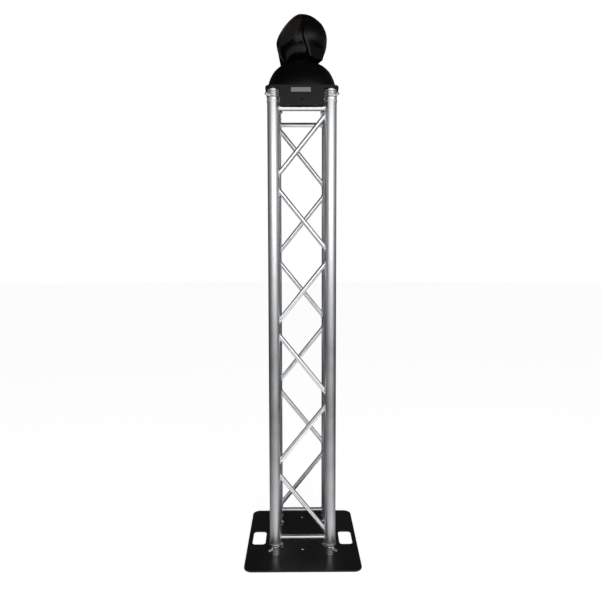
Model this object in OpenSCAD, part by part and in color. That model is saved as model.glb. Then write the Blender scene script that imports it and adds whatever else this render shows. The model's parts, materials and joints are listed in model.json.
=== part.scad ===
// Box truss totem: a 2 m box truss section standing on a square base plate,
// with a top plate that carries a ball-shaped moving light.
// Origin: centre of the base plate's underside. +Z is up and -Y is the front.

/* [Truss] */
// Length of the truss section from receiver face to receiver face
truss_len = 2000; // [1500:500:3000]
// Distance between chord centrelines, along X and along Y
chord_pitch = 240; // [220:5:260]
// Outer diameter of a chord tube and of its end receivers
chord_d = 50; // [48:1:52]
// Wall thickness of chords and braces
tube_wall = 2; // [1.5:0.5:3]
// Outer diameter of the diagonal and end braces
brace_d = 20; // [16:1:22]
// Number of diagonals on each face
diagonals = 6; // [4:2:8]
// Height of the end braces above each end of the truss
end_brace_rise = 73; // [70:1:80]
// Gap between two diagonals where their centrelines reach a chord centreline
diagonal_gap = 12; // [6:1:20]

/* [Couplers] */
// Length of the receiver that shows outside the chord tube
receiver_len = 48; // [46:1:56]
// Length of the receiver plug inside the chord tube
receiver_plug = 30; // [20:1:40]
// Distance of the tapered pin from the end of the truss
pin_rise = 24; // [22:1:28]
// Length of a tapered pin
pin_len = 84; // [80:1:90]
// Diameter of the tapered pin at its outer end
pin_big_d = 12.6; // [11:0.1:14]
// Diameter of the tapered pin at its inner end
pin_small_d = 11; // [9:0.1:12]
// Wire diameter of a spring clip
clip_wire_d = 2.6; // [2:0.1:3]

/* [Plates] */
// Side of the square base plate
base_side = 500; // [450:10:600]
// Thickness of the base plate
base_t = 6; // [5:1:10]
// Side of the square top plate
top_side = 304; // [302:2:320]
// Thickness of the top plate
top_t = 10; // [8:1:12]
// Depth of the folded front fascia below the top plate
fascia_h = 71; // [50:1:72]
// Width of the folded front fascia
fascia_w = 180; // [120:2:184]

/* [Moving light] */
// Outer radius of the domed base cover
dome_r = 152; // [150:1:152]
// Outer radius of the ball-shaped head
head_r = 110; // [108:1:110]
// Height of the tilt axis above the top plate
tilt_rise = 232; // [232:1:236]
// Direction in which the yoke is parked, counted anticlockwise from above
yoke_turn = 39.5; // [0:0.5:90]
// Angle between the parked beam and straight up
head_lean = 65; // [0:1:90]

/* [Hidden] */
$fn = 96;

eps = 0.01;                       // overshoot of a cut past a face
fit_gap = 0.1;                    // gap between assembled fixed pieces
run_gap = 0.05;                   // radial gap of a shaft in its bearing
half_pitch = chord_pitch / 2;
chord_r = chord_d / 2;
z_bottom = base_t;                // lower end of the truss
z_top = base_t + truss_len;       // upper end of the truss
z_plate = z_top + top_t;          // upper face of the top plate
brace_low = z_bottom + end_brace_rise;
brace_high = z_top - end_brace_rise;
diagonal_low = brace_low + 9;
diagonal_high = brace_high - 1;
diagonal_rise = (diagonal_high - diagonal_low - (diagonals - 1) * diagonal_gap) / diagonals;
plug_r = chord_r - tube_wall;
cone_big_r = 20.5;                // conical seat at the receiver's mouth
cone_small_r = 17.6;              // conical seat at its inner end
spigot_len = 44;
clip_offset = pin_len / 2 - 6;    // clip hole from the middle of the pin
bolt_r = 6;                       // spigot bolt
face_y = -(top_side / 2 - 0.4);   // front plane of the fascia
fascia_t = 1.5;
label_x = -4.5;                   // middle of the rating plate

// Moving light, base
chassis_t = 3;
chassis_r = dome_r - 3.5;
dome_screw_turns = [45, 135, 225, 315];
z_chassis = z_plate + chassis_t;  // upper face of the chassis disc
rim_h = 8;                        // straight rim below the dome
z_dome = z_plate + rim_h;         // centre of the dome sphere
dome_wall = 3;
shoulder_r = 167;                 // flatter spheres that shape the dome's shoulder and crown,
shoulder_drop = 24.5;             // with their centres below the centre of the dome
crown_r = 192;
crown_drop = 56;
dome_mouth_r = 90;
tilt_z = z_plate + tilt_rise;
tower_r = 44;
tower_bore_r = 38;
hub_r = 30;
hub_bore_r = 22;
z_tower = z_plate + 76;           // top of the bearing tower
bracket_t = 3;
gear_lift = 84;                   // underside of the pan gear above the top plate
gear_t = 8;
dish_rise = 106;                  // underside of the yoke dish above the top plate
dish_drop = tilt_rise - dish_rise;
hub_length = 58;                  // pan hub below the dish
pan_mod = 1.5;
pan_teeth = 72;
pinion_teeth = 16;
mesh_gap = 0.25;                  // extra centre distance of a gear pair
pan_centres = pan_mod * (pan_teeth + pinion_teeth) / 2 + mesh_gap;
motor_side = 42;
panel_y = dome_r - 2;             // face of the rear panel
panel_half = 70;
panel_top = 56;                   // top of the rear panel above the top plate
panel_t = 2.5;
button_x = [-8, 6, 20, 34];
button_z = z_plate + 44;
button_r = 4;
socket_z = z_plate + 20;
inlet_x = -45;
inlet_r = 12;
data_x = [-12, 14];
data_r = 10;
fuse_x = 42;
fuse_r = 6;

// Moving light, yoke and head
yoke_r = head_r + 3;              // arms stand a little proud of the ball
cheek = 84.5;                     // flat side of the head, from its middle
arm_in = 86;                      // inner face of a yoke arm
cap_in = 100;                     // plane between arm and cap
arm_disc_r = 66;                  // round upper end of an arm
arm_waist = 36;                   // half width of an arm where it curves in
arm_foot = 27;                    // half width of an arm at its foot
taper_z = -30;                    // below this the arms follow a slight cone
taper_r = sqrt(yoke_r * yoke_r - taper_z * taper_z);
waist_z = -94;                    // below this they curve in towards the dish
waist_r = 104;
foot_z = -106;
dish_r = 82;
dish_top = -106;                  // rim of the yoke dish below the tilt axis
dish_bowl_r = head_r + 3;
foot_top = -80;                   // upper face of the blocks that join arms and dish
shell = 3;
tilt_mod = 1.25;
tilt_teeth = 32;
tilt_centres = tilt_mod * (tilt_teeth + pinion_teeth) / 2 + mesh_gap;
recess_r = 43;                    // gear space in the near arm
recess_end = 97;
trunnion_r = 8;
bearing_r = 13;
bearing_end = 104;
face_d = 76;                      // front plane of the head from its centre
bezel_r = 78.5;
lens_r = 70;
lens_d = 70;
lens_step = 19.5;                 // pitch of the diodes
tilt_motor_side = 35;
fan_d = 8;                        // rear face of the fan from the centre
fan_t = 20;
fan_r = 36;
screw_x = 66.7;                   // shell screws in the head's own axes
screw_z = 44.8;

metal = "silver";
black = [0.08, 0.08, 0.09];
dark = [0.2, 0.2, 0.22];

// ---------- shared shapes ----------

module rounded_square(side, r) {
    half = side / 2 - r;
    square([side, 2 * half], center = true);
    square([2 * half, side], center = true);
    for (x = [-half, half], y = [-half, half])
        translate([x, y])
            circle(r = r);
}

module rounded_slot(w, d, r) {
    square([w, d - 2 * r], center = true);
    square([w - 2 * r, d], center = true);
    for (x = [-w / 2 + r, w / 2 - r], y = [-d / 2 + r, d / 2 - r])
        translate([x, y])
            circle(r = r);
}

module ring(r_out, r_in, h) {
    difference() {
        cylinder(h = h, r = r_out);
        translate([0, 0, -1])
            cylinder(h = h + 2, r = r_in);
    }
}

// Puts its children at each of the four chord centrelines; the child's +X points outwards
module at_corners() {
    for (q = [0:3])
        rotate([0, 0, 90 * q - 45])
            translate([half_pitch * sqrt(2), 0, 0])
                children();
}

module at_chord(q) {
    rotate([0, 0, 90 * q - 45])
        translate([half_pitch * sqrt(2), 0, 0])
            children();
}

// Tube between two points of the plane y = 0 that lie on the two chord centrelines
module brace(z_right, z_left) {
    rise = z_left - z_right;
    run = chord_pitch;
    length = sqrt(rise * rise + run * run);
    translate([half_pitch, 0, z_right])
        rotate([0, atan2(-run, rise), 0])
            ring(brace_d / 2, brace_d / 2 - tube_wall, length);
}

// Braces of one face, cut to the round of the two chords
module fitted_braces(heights) {
    difference() {
        translate([0, -half_pitch, 0])
            for (pair = heights)
                brace(pair[0], pair[1]);
        for (x = [-half_pitch, half_pitch])
            translate([x, -half_pitch, 0])
                cylinder(h = z_top, r = chord_r);
    }
}

// Gear wheel with straight-flanked teeth, first tooth on +X
module gear(teeth, mod, h) {
    pitch_r = teeth * mod / 2;
    root_r = pitch_r - 1.25 * mod;
    tip_r = pitch_r + 0.85 * mod;
    root_half = 0.95 * mod;
    tip_half = 0.3 * mod;
    linear_extrude(h)
        union() {
            circle(r = root_r);
            for (i = [0:teeth - 1])
                rotate(i * 360 / teeth)
                    polygon([[root_r - 0.5 * mod, -root_half], [root_r, -root_half], [tip_r, -tip_half],
                             [tip_r, tip_half], [root_r, root_half], [root_r - 0.5 * mod, root_half]]);
        }
}

module screw_head(r, h, recess_r) {
    difference() {
        cylinder(h = h, r = r);
        translate([0, 0, h * 0.4])
            cylinder(h = h, r = recess_r, $fn = 6);
    }
}

// ---------- truss ----------

module chord_tube() {
    translate([0, 0, z_bottom + receiver_len])
        ring(chord_r, chord_r - tube_wall, truss_len - 2 * receiver_len);
}

// Receiver with its mouth at z = 0 and its plug pointing up
module receiver() {
    shoulder = receiver_len - 10;
    difference() {
        union() {
            cylinder(h = receiver_len, r = chord_r);
            translate([0, 0, shoulder])
                cylinder(h = 3, r = chord_r + 1);
            cylinder(h = receiver_len + receiver_plug, r = plug_r);
        }
        translate([0, 0, -eps])
            cylinder(h = spigot_len + 4, r1 = cone_big_r + fit_gap, r2 = cone_small_r + fit_gap);
        translate([0, 0, spigot_len])
            cylinder(h = receiver_len + receiver_plug, r = cone_small_r);
        translate([0, 0, pin_rise])
            pin_body(fit_gap);
    }
}

// Conical spigot standing on z = 0
module spigot() {
    difference() {
        union() {
            cylinder(h = spigot_len - 3, r1 = cone_big_r, r2 = cone_small_r + 0.2);
            translate([0, 0, spigot_len - 3])
                cylinder(h = 3, r1 = cone_small_r + 0.2, r2 = cone_small_r - 2.5);
        }
        translate([0, 0, pin_rise])
            pin_body(fit_gap);
        translate([0, 0, -eps])
            cylinder(h = pin_rise - pin_big_d, r = bolt_r + fit_gap);
    }
}

// Countersunk bolt whose head lies flush with z = 0, shank pointing up
module countersunk_bolt(length) {
    difference() {
        union() {
            cylinder(h = 5, r1 = bolt_r * 1.9, r2 = bolt_r);
            cylinder(h = length, r = bolt_r);
        }
        translate([0, 0, -eps])
            cylinder(h = 3, r = bolt_r * 0.6, $fn = 6);
    }
}

module countersunk_hole() {
    translate([0, 0, -eps])
        cylinder(h = 5 + fit_gap, r1 = bolt_r * 1.9 + fit_gap, r2 = bolt_r + fit_gap);
    translate([0, 0, -eps])
        cylinder(h = 40, r = bolt_r + fit_gap);
}

// Tapered pin along X, thick end outwards; grow widens it for a hole
module pin_body(grow = 0) {
    translate([-pin_len / 2, 0, 0])
        rotate([0, 90, 0])
            cylinder(h = pin_len, r1 = pin_small_d / 2 + grow, r2 = pin_big_d / 2 + grow, $fn = 64);
}

module taper_pin() {
    difference() {
        pin_body();
        translate([-clip_offset, 0, -pin_big_d])
            cylinder(h = 2 * pin_big_d, r = clip_wire_d / 2 + 0.2, $fn = 32);
    }
}

// Hairpin clip: one leg through the pin, the other beside it, the loop below
module spring_clip() {
    wire_r = clip_wire_d / 2;
    leg_gap = pin_small_d / 2 + wire_r + 0.5;
    translate([-clip_offset, 0, 0]) {
        translate([0, 0, -12])
            cylinder(h = 22, r = wire_r, $fn = 32);
        translate([0, leg_gap, -12])
            cylinder(h = 19, r = wire_r, $fn = 32);
        translate([0, leg_gap / 2, -12])
            rotate([-90, 0, -90])
                rotate_extrude(angle = 180, $fn = 48)
                    translate([leg_gap / 2, 0])
                        circle(r = wire_r, $fn = 32);
    }
}

module receivers_at(low) {
    color(metal)
        at_corners()
            translate([0, 0, low ? z_bottom : z_top])
                mirror([0, 0, low ? 0 : 1])
                    receiver();
}

module spigots_at(low) {
    color(metal)
        at_corners()
            translate([0, 0, low ? z_bottom : z_top])
                mirror([0, 0, low ? 0 : 1])
                    spigot();
}

module pins_at(z) {
    color("gainsboro")
        at_corners()
            translate([0, 0, z])
                taper_pin();
}

module clips_at(z) {
    color("silver")
        at_corners()
            translate([0, 0, z])
                spring_clip();
}

module spigot_bolts(z, up) {
    color(dark)
        at_corners()
            translate([0, 0, z])
                mirror([0, 0, up ? 0 : 1])
                    countersunk_bolt(up ? base_t + 11 : top_t + 11);
}

module end_braces(z) {
    color(metal)
        for (q = [0:3])
            rotate([0, 0, 90 * q])
                fitted_braces([[z, z]]);
}

// One face of diagonals; every face starts at its upper right corner seen from outside
module diagonals_face(q) {
    step = diagonal_rise + diagonal_gap;
    color(metal)
        rotate([0, 0, 90 * q])
            fitted_braces([for (i = [0:diagonals - 1])
                let (high = diagonal_high - i * step, low = high - diagonal_rise)
                i % 2 == 0 ? [high, low] : [low, high]]);
}

// ---------- plates ----------

module base_plate() {
    color(black)
        difference() {
            linear_extrude(base_t)
                difference() {
                    rounded_square(base_side, 35);
                    for (x = [-1, 1])
                        translate([x * (base_side / 2 - 50), 0])
                            rounded_slot(60, 110, 14);
                    translate([0, -92])
                        circle(r = 6.5);
                    translate([0, 185])
                        circle(r = 6.5);
                }
            at_corners()
                countersunk_hole();
        }
}

module top_plate() {
    color(black)
        difference() {
            translate([0, 0, z_top])
                linear_extrude(top_t)
                    difference() {
                        rounded_square(top_side, 25);
                        circle(r = 20);
                        for (x = [-60, 60], y = [-60, 60])
                            translate([x, y])
                                circle(r = 4.2);
                    }
            translate([0, 0, z_plate])
                mirror([0, 0, 1])
                    at_corners()
                        countersunk_hole();
            translate([-fascia_w / 2 - fit_gap, face_y - 1, z_top - 1])
                cube([fascia_w + 2 * fit_gap, fascia_t + 1 + fit_gap, top_t + 2]);
        }
}

// Front sheet, let into the edge of the top plate, with a flange below the plate
module fascia() {
    low = z_top - fascia_h;
    color(dark)
        difference() {
            union() {
                translate([-fascia_w / 2, face_y, low])
                    cube([fascia_w, fascia_t, fascia_h + top_t]);
                translate([-fascia_w / 2, face_y, z_top - fascia_t])
                    cube([fascia_w, 36, fascia_t]);
            }
            translate([0, face_y - 1, low + 24])
                rotate([-90, 0, 0])
                    cylinder(h = fascia_t + 2, r = 4);
            for (x = [-60, 60])
                translate([x, face_y + 26, z_top - 4])
                    cylinder(h = 8, r = 2.6);
        }
}

module fascia_screws() {
    color(metal)
        for (x = [-60, 60])
            translate([x, face_y + 26, z_top - fascia_t])
                mirror([0, 0, 1])
                    screw_head(4.5, 2.5, 1.8);
}

module rating_plate() {
    color("gray")
        translate([label_x, face_y, z_top - 9])
            rotate([90, 0, 0])
                linear_extrude(0.6)
                    rounded_slot(81, 18, 1.5);
}

// ---------- moving light: base ----------

// Disc with four upright tabs that take the screws of the dome
module light_chassis() {
    color(dark)
        difference() {
            union() {
                translate([0, 0, z_plate])
                    cylinder(h = chassis_t, r = chassis_r);
                for (turn = dome_screw_turns)
                    rotate([0, 0, turn])
                        translate([chassis_r - 9, -6, z_plate])
                            cube([8, 12, chassis_t + 7]);
            }
            translate([0, 0, z_plate - 1])
                cylinder(h = 5, r = 20);
            for (x = [-60, 60], y = [-60, 60])
                translate([x, y, z_plate - 1])
                    cylinder(h = 5, r = 4.2);
            translate([-panel_half - 1, panel_y - 42, z_plate - 1])
                cube([2 * panel_half + 2, 60, 5]);
            dome_screw_holes();
        }
}

module chassis_bolts() {
    color(metal)
        for (x = [-60, 60], y = [-60, 60])
            translate([x, y, z_top]) {
                mirror([0, 0, 1])
                    screw_head(6.5, 4, 3);
                cylinder(h = top_t + chassis_t + 3, r = 4);
            }
}

// The dome's shape, drawn in by inset all over
module dome_body(inset) {
    translate([0, 0, z_dome])
        intersection() {
            sphere(r = dome_r - inset);
            translate([0, 0, -shoulder_drop])
                sphere(r = shoulder_r - inset);
            translate([0, 0, -crown_drop])
                sphere(r = crown_r - inset);
            translate([0, 0, -eps])
                cylinder(h = dome_r, r = dome_r + 1);
        }
}

module dome_cover() {
    color(black)
        difference() {
            union() {
                translate([0, 0, z_plate])
                    cylinder(h = rim_h, r = dome_r);
                dome_body(0);
            }
            translate([0, 0, z_plate - 1])
                cylinder(h = rim_h + 1, r = dome_r - dome_wall);
            dome_body(dome_wall);
            translate([0, 0, z_dome + 60])
                cylinder(h = dome_r, r = dome_mouth_r);
            translate([-panel_half - 0.3, 80, z_plate - 1])
                cube([2 * panel_half + 0.6, 100, panel_top + 1.3]);
            dome_screw_holes();
        }
}

module dome_screw_holes() {
    dome_screw_axes()
        translate([0, 0, -20])
            cylinder(h = 40, r = 2.1, $fn = 32);
}

module dome_screw_axes() {
    for (turn = dome_screw_turns)
        rotate([0, 0, turn])
            translate([dome_r - 1, 0, z_plate + rim_h / 2])
                rotate([0, 90, 0])
                    children();
}

module dome_screws() {
    color(dark)
        dome_screw_axes() {
            translate([0, 0, 1])
                screw_head(3.5, 1.8, 1.5);
            translate([0, 0, -8])
                cylinder(h = 9, r = 2, $fn = 32);
        }
}

module pan_tower() {
    color(metal)
        translate([0, 0, z_chassis])
            ring(tower_r, tower_bore_r, z_tower - z_chassis);
}

module pan_bearing() {
    color("gainsboro")
        translate([0, 0, z_tower - 14])
            ring(tower_bore_r, hub_r + run_gap, 12);
}

module pan_motor() {
    body_h = 40;
    color(dark)
        translate([0, -pan_centres, z_tower - body_h])
            difference() {
                linear_extrude(body_h)
                    rounded_square(motor_side, 4);
                translate([0, 0, body_h - 12])
                    cylinder(h = 20, r = 2.5 + run_gap, $fn = 32);
            }
}

module motor_bracket() {
    color(metal)
        translate([0, 0, z_tower])
            linear_extrude(bracket_t)
                difference() {
                    union() {
                        circle(r = tower_r);
                        translate([-motor_side / 2, -pan_centres - motor_side / 2])
                            square([motor_side, pan_centres]);
                    }
                    circle(r = tower_bore_r);
                    translate([0, -pan_centres])
                        circle(r = 5);
                }
}

module pan_pinion() {
    color("goldenrod")
        translate([0, -pan_centres, 0]) {
            translate([0, 0, z_plate + gear_lift])
                rotate([0, 0, 90 + 180 / pinion_teeth])
                    gear(pinion_teeth, pan_mod, gear_t);
            translate([0, 0, z_tower - 10])
                cylinder(h = z_plate + gear_lift - z_tower + 10 + gear_t + 2, r = 2.5, $fn = 32);
        }
}

module pan_gear() {
    color("goldenrod")
        translate([0, 0, z_plate + gear_lift])
            difference() {
                rotate([0, 0, -90])
                    gear(pan_teeth, pan_mod, gear_t);
                translate([0, 0, -1])
                    cylinder(h = gear_t + 2, r = hub_r);
            }
}

module power_supply() {
    color("silver")
        difference() {
            translate([-118, -45, z_chassis])
                cube([60, 90, 38]);
            for (y = [-36:12:36])
                translate([-106, y - 2, z_chassis + 30])
                    cube([36, 4, 20]);
        }
}

module control_board() {
    color("darkgreen") {
        translate([62, -40, z_chassis + 6])
            cube([48, 80, 1.6]);
        for (y = [-34, 34], x = [66, 106])
            translate([x, y, z_chassis])
                cylinder(h = 6, r = 2.5, $fn = 32);
        for (y = [-24:16:24])
            translate([76, y - 5, z_chassis + 7.6])
                cube([20, 10, 4]);
    }
}

module rear_panel() {
    depth = 38;
    low = z_plate;
    color(dark)
        difference() {
            translate([-panel_half, panel_y - depth, low])
                cube([2 * panel_half, depth, panel_top]);
            translate([-panel_half + panel_t, panel_y - depth - 1, low - 1])
                cube([2 * panel_half - 2 * panel_t, depth - panel_t + 1, panel_top - panel_t + 1]);
            for (x = button_x)
                panel_hole(x, button_z, button_r + 0.3);
            panel_hole(inlet_x, socket_z, inlet_r);
            panel_hole(fuse_x, socket_z, fuse_r);
            for (x = data_x)
                panel_hole(x, socket_z, data_r);
            translate([-60, panel_y - 10, button_z - 7])
                cube([36, 20, 14]);
        }
}

module panel_hole(x, z, r) {
    translate([x, panel_y + 1, z])
        rotate([90, 0, 0])
            cylinder(h = 10, r = r);
}

module display_window() {
    color([0.15, 0.25, 0.3])
        translate([-60, panel_y - 2, button_z - 7])
            cube([36, 1.6, 14]);
}

module panel_button(i) {
    color("dimgray")
        translate([button_x[i], panel_y, button_z])
            rotate([90, 0, 0]) {
                translate([0, 0, -1.8])
                    cylinder(h = 8, r = button_r, $fn = 48);
                translate([0, 0, panel_t + 0.3])
                    cylinder(h = 1.5, r = button_r + 1.2, $fn = 48);
            }
}

module power_inlet() {
    color("royalblue")
        translate([inlet_x, panel_y, socket_z])
            rotate([90, 0, 0])
                difference() {
                    union() {
                        translate([0, 0, -1.5])
                            cylinder(h = 1.5, r = inlet_r + 2);
                        cylinder(h = 22, r = inlet_r);
                    }
                    translate([0, 0, -2])
                        ring(inlet_r - 2, 5, 14);
                }
}

// Two data sockets and the fuse holder between panel and board
module data_sockets() {
    color(dark)
        for (x = data_x)
            translate([x, panel_y, socket_z])
                rotate([90, 0, 0])
                    difference() {
                        union() {
                            translate([0, 0, -1.5])
                                cylinder(h = 1.5, r = data_r + 1.5);
                            cylinder(h = 20, r = data_r);
                        }
                        translate([0, 0, -2])
                            cylinder(h = 12, r = data_r - 2);
                    }
    color(dark)
        translate([fuse_x, panel_y, socket_z])
            rotate([90, 0, 0]) {
                translate([0, 0, -3])
                    cylinder(h = 3, r = fuse_r + 1.5);
                cylinder(h = 20, r = fuse_r);
            }
}

// ---------- moving light: yoke ----------

module at_yoke() {
    translate([0, 0, tilt_z])
        rotate([0, 0, yoke_turn])
            children();
}

// Upright outline of an arm, seen along the tilt axis
module arm_outline() {
    shoulder = 25;
    circle(r = arm_disc_r);
    polygon([[-arm_disc_r * cos(shoulder), -arm_disc_r * sin(shoulder)],
             [arm_disc_r * cos(shoulder), -arm_disc_r * sin(shoulder)],
             [arm_waist, waist_z], [arm_foot, -dish_drop + 20], [arm_foot, -dish_drop],
             [-arm_foot, -dish_drop], [-arm_foot, -dish_drop + 20], [-arm_waist, waist_z]]);
}

// Body that bounds yoke and caps: a sphere, a slight cone, a steep cone and the dish
module yoke_envelope() {
    intersection() {
        sphere(r = yoke_r, $fn = 128);
        translate([0, 0, taper_z])
            cylinder(h = 2 * yoke_r, r = 2 * yoke_r);
    }
    translate([0, 0, waist_z])
        cylinder(h = taper_z - waist_z, r1 = waist_r, r2 = taper_r, $fn = 128);
    translate([0, 0, foot_z])
        cylinder(h = waist_z - foot_z, r1 = dish_r + 1, r2 = waist_r, $fn = 128);
    translate([0, 0, -dish_drop])
        cylinder(h = dish_drop + foot_z, r = dish_r, $fn = 128);
}

// Both arms between two distances from the middle
module arm_slabs(from, to) {
    for (side = [0, 180])
        rotate([0, 0, side])
            rotate([90, 0, 0])
                translate([0, 0, from])
                    linear_extrude(to - from)
                        arm_outline();
}

module across_arms(r, from, to) {
    for (side = [0, 180])
        rotate([0, 0, side])
            rotate([90, 0, 0])
                translate([0, 0, from])
                    cylinder(h = to - from, r = r);
}

// Round dish under the head, with a block towards each arm
module yoke_dish() {
    difference() {
        union() {
            translate([0, 0, -dish_drop])
                cylinder(h = dish_drop + dish_top, r = dish_r, $fn = 128);
            intersection() {
                yoke_envelope();
                arm_slabs(dish_r - 24, arm_in + 1);
                translate([0, 0, -dish_drop])
                    cylinder(h = dish_drop + foot_top, r = 2 * dish_r);
            }
        }
        sphere(r = dish_bowl_r, $fn = 128);
    }
}

module yoke() {
    color(black)
        at_yoke()
            difference() {
                union() {
                    intersection() {
                        yoke_envelope();
                        arm_slabs(arm_in, cap_in);
                    }
                    yoke_dish();
                    translate([0, 0, -dish_drop - hub_length])
                        cylinder(h = hub_length + 1, r = hub_r);
                }
                translate([0, 0, -dish_drop - hub_length - 2])
                    cylinder(h = hub_length + 22, r = hub_bore_r);
                across_arms(recess_r, arm_in - 1, recess_end);
                across_arms(bearing_r, recess_end - 1, cap_in + 1);
            }
}

module yoke_caps() {
    color(black)
        at_yoke()
            difference() {
                intersection() {
                    sphere(r = yoke_r, $fn = 128);
                    across_arms(arm_disc_r, cap_in, yoke_r + 1);
                }
                across_arms(bearing_r, cap_in - 1, bearing_end);
            }
}

module tilt_bearings() {
    color("gainsboro")
        at_yoke()
            difference() {
                across_arms(bearing_r, recess_end, bearing_end);
                across_arms(trunnion_r + run_gap, recess_end - 1, bearing_end + 1);
            }
}

// Fixed gear on the near arm; the head's pinion rolls around it
module tilt_gear() {
    color("goldenrod")
        at_yoke()
            rotate([90, 0, 0])
                translate([0, 0, recess_end - 7])
                    difference() {
                        rotate([0, 0, 270 + head_lean])
                            gear(tilt_teeth, tilt_mod, 7);
                        translate([0, 0, -1])
                            cylinder(h = 9, r = trunnion_r + 3);
                    }
}

// ---------- moving light: head ----------

// Head axes: +Z is the beam, -Y points out of the near arm
module at_head() {
    at_yoke()
        rotate([0, -head_lean, 0])
            children();
}

module tilt_pinion() {
    color("goldenrod")
        at_head()
            translate([0, 0, -tilt_centres])
                rotate([90, 0, 0]) {
                    translate([0, 0, recess_end - 7])
                        rotate([0, 0, 90 + 180 / pinion_teeth])
                            gear(pinion_teeth, tilt_mod, 6.5);
                    translate([0, 0, cheek - 16])
                        cylinder(h = recess_end - cheek + 10, r = 2.5, $fn = 32);
                }
}

module tilt_motor() {
    body_h = 30;
    color(dark)
        at_head()
            translate([0, 0, -tilt_centres])
                rotate([90, 0, 0])
                    translate([0, 0, cheek - shell - body_h])
                        difference() {
                            linear_extrude(body_h)
                                rounded_square(tilt_motor_side, 4);
                            translate([0, 0, body_h - 14])
                                cylinder(h = 20, r = 2.5 + run_gap, $fn = 32);
                        }
}

// Hollow shafts with a flange inside the head
module trunnions() {
    color(metal)
        at_head()
            difference() {
                union() {
                    across_arms(12, cheek - shell - 4, cheek - shell);
                    across_arms(trunnion_r, cheek - shell - 1, bearing_end - 0.5);
                }
                across_arms(trunnion_r - 3, cheek - shell - 5, bearing_end);
            }
}

module head_solid(r, half_width) {
    intersection() {
        rotate([90, 0, 0])
            sphere(r = r, $fn = 128);
        translate([-2 * r, -half_width, -2 * r])
            cube([4 * r, 2 * half_width, 4 * r]);
    }
}

// Hollow ball with flat cheeks and the bores for trunnions, pinion shaft and screws
module head_hollow() {
    difference() {
        head_solid(head_r, cheek);
        head_solid(head_r - shell, cheek - shell);
        across_arms(trunnion_r + 0.2, cheek - 10, cheek + 1);
        translate([0, 0, -tilt_centres])
            rotate([90, 0, 0])
                cylinder(h = cheek + 1, r = 6);
    }
}

module shell_screw_axes() {
    for (x = [-screw_x, screw_x], side = [-1, 1])
        translate([x, side * 60, screw_z])
            rotate([-side * 90, 0, 0])
                children();
}

module head_front_shell() {
    color(black)
        at_head()
            difference() {
                union() {
                    intersection() {
                        head_hollow();
                        cylinder(h = face_d, r = 2 * head_r);
                    }
                    intersection() {
                        head_solid(head_r - 1, cheek - 1);
                        shell_screw_axes()
                            cylinder(h = 30, r = 7.5, $fn = 48);
                    }
                }
                translate([0, 0, face_d - 12])
                    cylinder(h = 20, r = bezel_r - 1.5);
                shell_screw_axes()
                    translate([0, 0, 6])
                        cylinder(h = 40, r = 4.5, $fn = 48);
                shell_screw_axes()
                    translate([0, 0, -1])
                        cylinder(h = 10, r = 2, $fn = 32);
            }
}

module head_rear_shell() {
    color(black)
        at_head()
            difference() {
                intersection() {
                    head_hollow();
                    translate([0, 0, -2 * head_r])
                        cylinder(h = 2 * head_r, r = 2 * head_r);
                }
                for (x = [-36:12:36])
                    translate([x - 2, -34, -2 * head_r])
                        cube([4, 68, 1.5 * head_r]);
            }
}

module shell_screws() {
    color(metal)
        at_head()
            shell_screw_axes() {
                translate([0, 0, 6])
                    screw_head(3.8, 3, 1.6);
                translate([0, 0, -4])
                    cylinder(h = 10, r = 1.9, $fn = 32);
            }
}

module front_bezel() {
    color(black)
        at_head()
            translate([0, 0, face_d - 8])
                difference() {
                    intersection() {
                        cylinder(h = 9.5, r = bezel_r - 1.6);
                        translate([-head_r, -cheek + 8, 0])
                            cube([2 * head_r, 2 * cheek - 16, 20]);
                    }
                    translate([0, 0, -1])
                        cylinder(h = 12, r = lens_r);
                }
}

// Clear optic plate with one raised lens over each diode
module lens_array() {
    color([0.55, 0.5, 0.45])
        at_head()
            translate([0, 0, lens_d - 3]) {
                cylinder(h = 2, r = lens_r - 0.2);
                translate([0, 0, 1])
                    lens_places()
                        cylinder(h = 3, r1 = 9, r2 = 7.5, $fn = 48);
            }
}

// Centre plus three rings of places
module lens_places() {
    children();
    for (k = [1:3], i = [0:6 * k - 1])
        rotate([0, 0, i * 60 / k])
            translate([k * lens_step, 0, 0])
                children();
}

// Diode board and the finned heatsink that carries it
module led_engine() {
    fins = 13;
    fin_pitch = 9;
    color("gray")
        at_head() {
            translate([0, 0, lens_d - 12])
                cylinder(h = 8, r = lens_r - 2);
            intersection() {
                translate([0, 0, fan_d + fan_t])
                    cylinder(h = lens_d - 12 - fan_d - fan_t, r = 66);
                for (i = [0:fins - 1])
                    translate([(i - (fins - 1) / 2) * fin_pitch - 1.25, -70, 0])
                        cube([2.5, 140, 100]);
            }
            lens_places()
                translate([-3, -3, lens_d - 5])
                    cube([6, 6, 2]);
        }
}

module fan_frame() {
    color(dark)
        at_head()
            translate([0, 0, fan_d])
                difference() {
                    union() {
                        linear_extrude(fan_t)
                            difference() {
                                rounded_square(80, 4);
                                circle(r = fan_r + 1.5);
                            }
                        for (turn = [0, 90])
                            rotate([0, 0, turn])
                                translate([-39, -2, 0])
                                    cube([78, 4, 2.5]);
                        cylinder(h = 2.5, r = 13);
                    }
                    translate([0, 0, -1])
                        cylinder(h = 10, r = 1.5 + run_gap, $fn = 32);
                }
}

module fan_rotor() {
    blades = 7;
    color("dimgray")
        at_head()
            translate([0, 0, fan_d]) {
                translate([0, 0, 3])
                    cylinder(h = 14, r = 13);
                cylinder(h = 4, r = 1.5, $fn = 32);
                for (i = [0:blades - 1])
                    rotate([0, 0, i * 360 / blades])
                        translate([12, 0, 10])
                            rotate([35, 0, 0])
                                translate([0, -1, -7])
                                    cube([fan_r - 13, 2, 14]);
            }
}

// ---------- one node at a time ----------

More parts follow.
